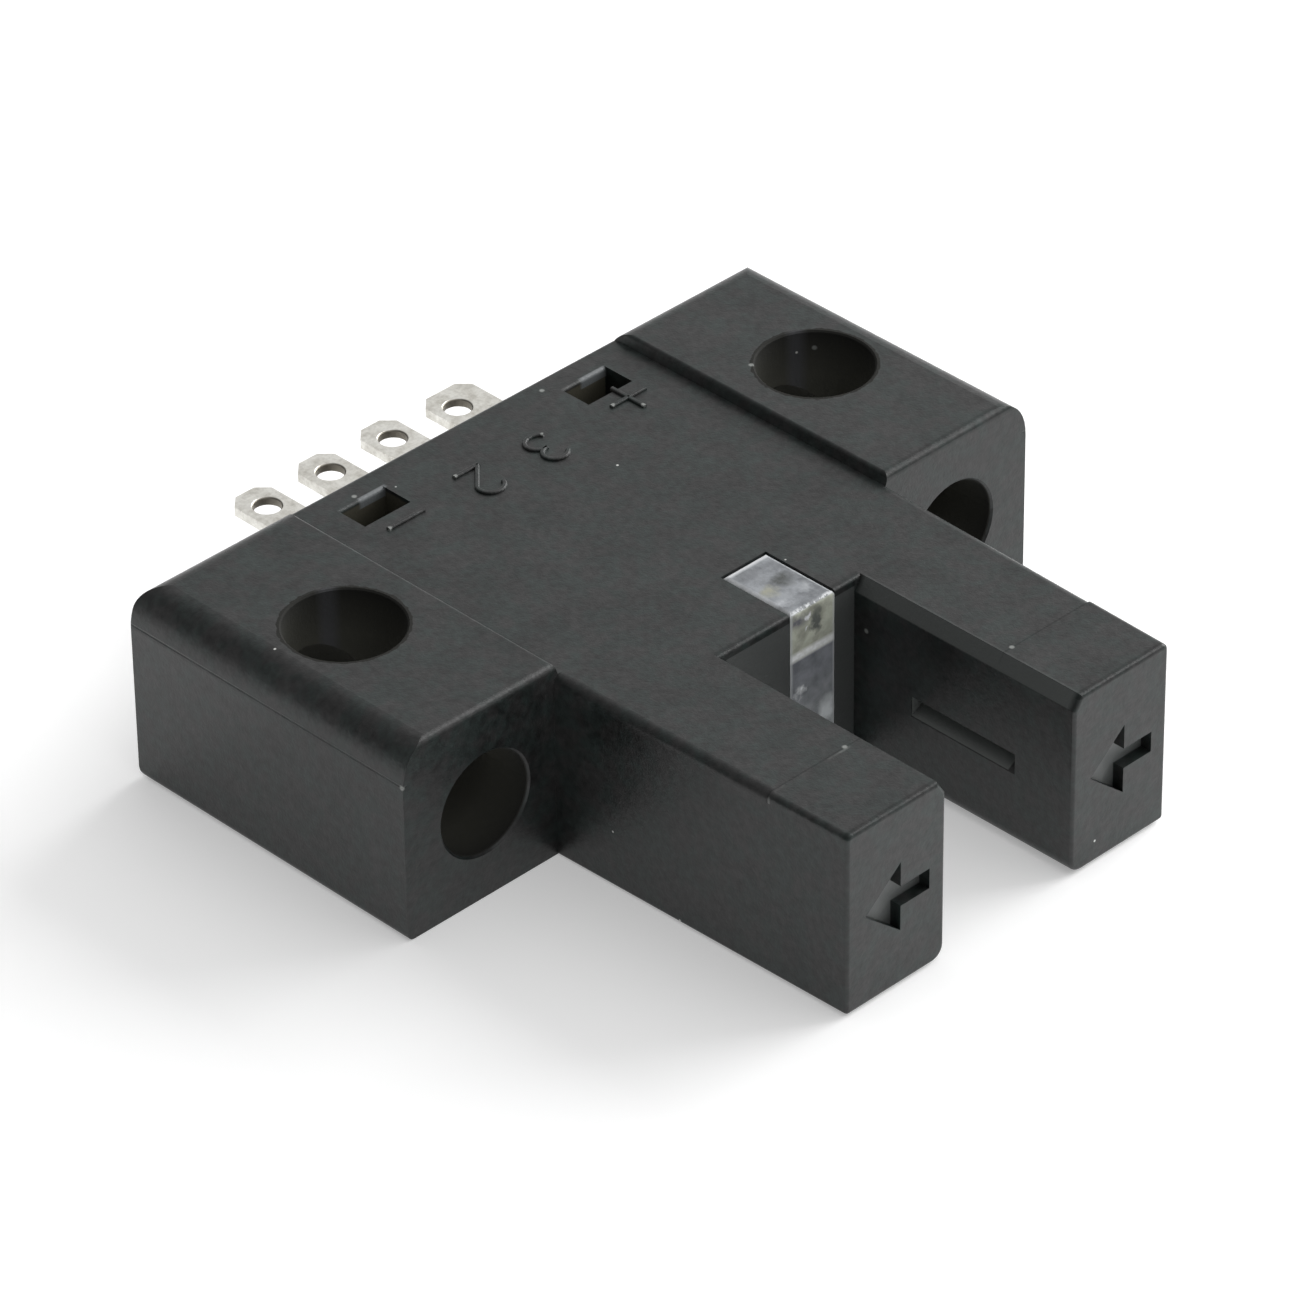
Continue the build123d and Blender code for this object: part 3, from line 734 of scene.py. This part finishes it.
def fading(material, value, edge, start, end):
    """0 at start, 1 at end and beyond it, where both are millimetres away from an edge."""
    low, high = sorted((start, end))
    ends = (0.0, 1.0) if end > start else (1.0, 0.0)
    return spread(material, value, edge + low * mm, edge + high * mm, *ends)


def pipe_top(material, x, y, warp_x, warp_y, haze, fine):
    """The pipe's upper face: haze, warped patches and bright rims."""
    colour = hazy(material, top_tones, haze)
    flecks = spread(material, fine, 0, 1, 0.7, 1.0)
    for centre, radii, tone in top_patches:
        patch = round_spot(material, warp_x, warp_y, centre, radii)
        colour = painted(material, colour, both(material, patch, flecks), tone)
    rims = [
        (fading(material, y, pipe_rear, -0.26, -0.12), None),
        (fading(material, x, pipe_left, 0.18, 0.05), spread(material, haze, 0, 1, 0.4, 1.0)),
        (fading(material, x, pipe_right, -0.15, -0.06), spread(material, fine, 0, 1, 0.4, 0.9)),
        (fading(material, y, pipe_front, 0.14, 0.04), spread(material, fine, 0.45, 0.6, 0.15, 1.0)),
    ]
    rims = [both(material, rim, broken) if broken else rim for rim, broken in rims]
    return painted(material, colour, either(material, *rims), rim_light)


def pipe_wall(material, x, z, warp_x, warp_z, haze, fine):
    """The pipe's front face: the upper plate, the darker wall under it, and what shines in them."""
    upper = hazy(material, upper_tones, haze)
    deep = hazy(material, bottom_painted_light_tones, haze)
    lower = hazy(material, lower_tones, haze)
    # painted light: lighter towards the bottom of the wall
    lower = painted(material, lower, fading(material, z, 0, 3.9, 2.6), deep)
    colour = painted(material, upper, fading(material, z, upper_plate_z, 0.05, 0), lower)
    for centre, radii, tone in front_patches:
        patch = round_spot(material, warp_x, warp_z, centre, radii)
        colour = painted(material, colour, patch, tone)
    flecks = spread(material, fine, 0, 1, 0.7, 1.0)
    band = both(material, near_value(material, z, band_z, band_half), flecks)
    colour = painted(material, colour, band, band_light)
    sides = either(
        material,
        fading(material, x, pipe_left, 0.13, 0.05),
        fading(material, x, pipe_right, -0.10, -0.04),
    )
    shining = reckon(material, "MULTIPLY", sides, side_strength)
    return painted(material, colour, shining, side_light)


def clear_plastic(name):
    """Half-clear plastic with haze, and the pale zones of its top and its front."""
    material, shader = plain_material(name, (0.5, 0.5, 0.5), 0.16)
    shader.inputs["IOR"].default_value = pipe_ior
    shader.inputs["Transmission Weight"].default_value = pipe_clearness
    place = object_place(material)
    x, y, z = axes_of(material, place)
    haze = spread(material, clouds(material, place, 0.6 * mm, 5.0), 0.36, 0.64, 0, 1)
    fine = spread(material, clouds(material, place, 0.16 * mm, 3.0), 0.35, 0.65, 0, 1)
    ripple = clouds(material, place, 0.35 * mm, 3.0)
    warp = spread(material, ripple, 0.3, 0.7, -warp_reach, warp_reach)
    sway = spread(material, haze, 0, 1, -sway_reach, sway_reach)
    warp_x = reckon(material, "ADD", x, warp)
    warp_y = reckon(material, "ADD", y, sway)
    warp_z = reckon(material, "ADD", z, sway)
    on_front = both(
        material,
        fading(material, y, pipe_front, 0.06, 0.02),
        fading(material, z, 0, 6.15, 6.10),
    )
    top = pipe_top(material, x, y, warp_x, warp_y, haze, fine)
    front = pipe_wall(material, x, z, warp_x, warp_z, haze, fine)
    join(material, painted(material, top, on_front, front), shader.inputs["Base Color"])
    join(material, spread(material, haze, 0, 1, 0.12, 0.26), shader.inputs["Roughness"])
    relief(material, shader, weighted(material, (haze, 1.0), (fine, 0.4)), pipe_relief)
    return material


finishes["clear_plastic"] = clear_plastic("light_pipe_plastic")

# %% [markdown]
# ## Tinned terminals
# The tabs are stamped from brass and tinned. Tin from a bath is bright but not a mirror: it has soft
# cloudy patches and fine marks along the strip. The walls of the eyelets get a darker, warmer tone as
# painted shade.

# %% Metals
eyelet_places = [(-3.81, 9.675), (-1.27, 9.675), (1.27, 9.675), (3.81, 9.525)]
eyelet_reach = (0.80, 0.80)
# A spot of that reach has the value 0.60 at an eyelet's wall, 0.44 mm from its centre.
eyelet_wall = (0.545, 0.575)
drawn_stretch = 0.12
tin_relief = 0.005 * mm


def tinned_metal(name, bright, dull, eyelet_wall_shade, roughness):
    """Metal with cloudy tin, marks along the strip, in Y, and painted shade on the eyelets' walls."""
    material, shader = plain_material(name, bright, roughness)
    shader.inputs["Metallic"].default_value = 1.0
    place = object_place(material)
    x, y, _ = axes_of(material, place)
    patches = clouds(material, place, 0.55 * mm, 5.0)
    freckles = clouds(material, place, 0.13 * mm, 3.0)
    along = add_node(material, "ShaderNodeMapping")
    along.inputs["Scale"].default_value = (1.0, drawn_stretch, 1.0)
    join(material, place, along.inputs["Vector"])
    drawn = clouds(material, along.outputs["Vector"], 0.05 * mm, 2.0)
    mixed = weighted(
        material,
        (spread(material, patches, 0.36, 0.62, 0, 1), 0.65),
        (spread(material, freckles, 0.32, 0.62, 0, 1), 0.35),
    )
    colour = painted(material, dull, mixed, bright)
    spots = [round_spot(material, x, y, centre, eyelet_reach) for centre in eyelet_places]
    # the eyelets' walls are painted darker: painted shade
    walls = spread(material, either(material, *spots), *eyelet_wall, 0.0, 1.0)
    join(material, painted(material, colour, walls, eyelet_wall_shade), shader.inputs["Base Color"])
    sheen = spread(material, patches, 0.3, 0.7, roughness + 0.10, roughness - 0.04)
    join(material, sheen, shader.inputs["Roughness"])
    relief(material, shader, weighted(material, (patches, 0.8), (drawn, 0.8)), tin_relief)
    return material


metals = [
    # slot, name, bright tin, dull tin, painted shade on the eyelets' walls, roughness
    (
        "tinned_metal", "terminal_tin",
        (0.87, 0.86, 0.81), (0.54, 0.52, 0.47), (0.20, 0.185, 0.155), 0.40,
    ),
    (
        "lead_metal", "lead_tin",
        (0.78, 0.78, 0.76), (0.62, 0.61, 0.58), (0.40, 0.39, 0.36), 0.30,
    ),
]
for slot_name, *values in metals:
    finishes[slot_name] = tinned_metal(*values)

# %% [markdown]
# ## Inside the case
# The windows, the two optical packages, the board and its parts are seen only through the slits, the
# pockets and the terminal side, but whoever opens the part finds each with its own finish: dark filter
# plastic, tinted epoxy, green solder resist over glass cloth, and glazed or ceramic bodies.

# %% Inner finishes
resin_relief = 0.003 * mm
board_relief = 0.004 * mm
thread_width = 1.3 * mm
resist_green, resist_roughness = (0.02, 0.16, 0.07), 0.28
cloth_dark, cloth_light = (0.012, 0.11, 0.045), (0.03, 0.21, 0.09)


def resin(name, colour, darker, roughness, clear):
    """Moulded epoxy: faint clouds in the colour, with a share that lets light through."""
    material, shader = plain_material(name, colour, roughness)
    place = object_place(material)
    share = spread(material, clouds(material, place, 0.5 * mm), 0.3, 0.7, 0, 1)
    join(material, painted(material, darker, share, colour), shader.inputs["Base Color"])
    shader.inputs["Transmission Weight"].default_value = clear
    relief(material, shader, clouds(material, place, 0.06 * mm, 2.0), resin_relief)
    return material


def solder_resist(name):
    """Green lacquer with the weave of the glass cloth under it."""
    material, shader = plain_material(name, resist_green, resist_roughness)
    place = object_place(material)
    threads = []
    for direction in ("X", "Y"):
        weave = add_node(
            material, "ShaderNodeTexWave", bands_direction=direction, Scale=1 / thread_width
        )
        join(material, place, weave.inputs["Vector"])
        threads.append(weave.outputs["Fac"])
    cloth = both(material, *threads)
    colour = painted(material, cloth_dark, cloth, cloth_light)
    join(material, colour, shader.inputs["Base Color"])
    relief(material, shader, cloth, board_relief)
    return material


resins = [
    # slot, name, colour, darker colour, roughness, share of light let through
    ("dark_filter", "window_filter", (0.020, 0.008, 0.012), (0.012, 0.004, 0.008), 0.15, 0.0),
    ("smoky_resin", "emitter_epoxy", (0.42, 0.50, 0.72), (0.30, 0.36, 0.55), 0.12, 0.6),
    ("dark_resin", "receiver_epoxy", (0.03, 0.018, 0.026), (0.02, 0.012, 0.018), 0.16, 0.0),
    ("package_resin", "chip_epoxy", (0.030, 0.030, 0.032), (0.020, 0.020, 0.022), 0.5, 0.0),
    ("lamp_resin", "lamp_epoxy", (0.86, 0.84, 0.74), (0.72, 0.69, 0.58), 0.3, 0.2),
    ("resistor_body", "resistor_glaze", (0.035, 0.036, 0.040), (0.02, 0.02, 0.024), 0.3, 0.0),
    ("capacitor_body", "capacitor_ceramic", (0.42, 0.29, 0.18), (0.34, 0.22, 0.13), 0.45, 0.0),
]
for slot_name, *values in resins:
    finishes[slot_name] = resin(*values)
finishes["board_laminate"] = solder_resist("board_resist")

# %% Hand each solid its finish
for subpart in frame["record"]["subparts"]:
    solid = nodes[subpart["node"]]
    solid.data.materials.clear()
    solid.data.materials.append(finishes[subpart["material_slot"]])
print(f"{len(finishes)} finishes on {len(nodes)} solids and {len(marks)} marks")
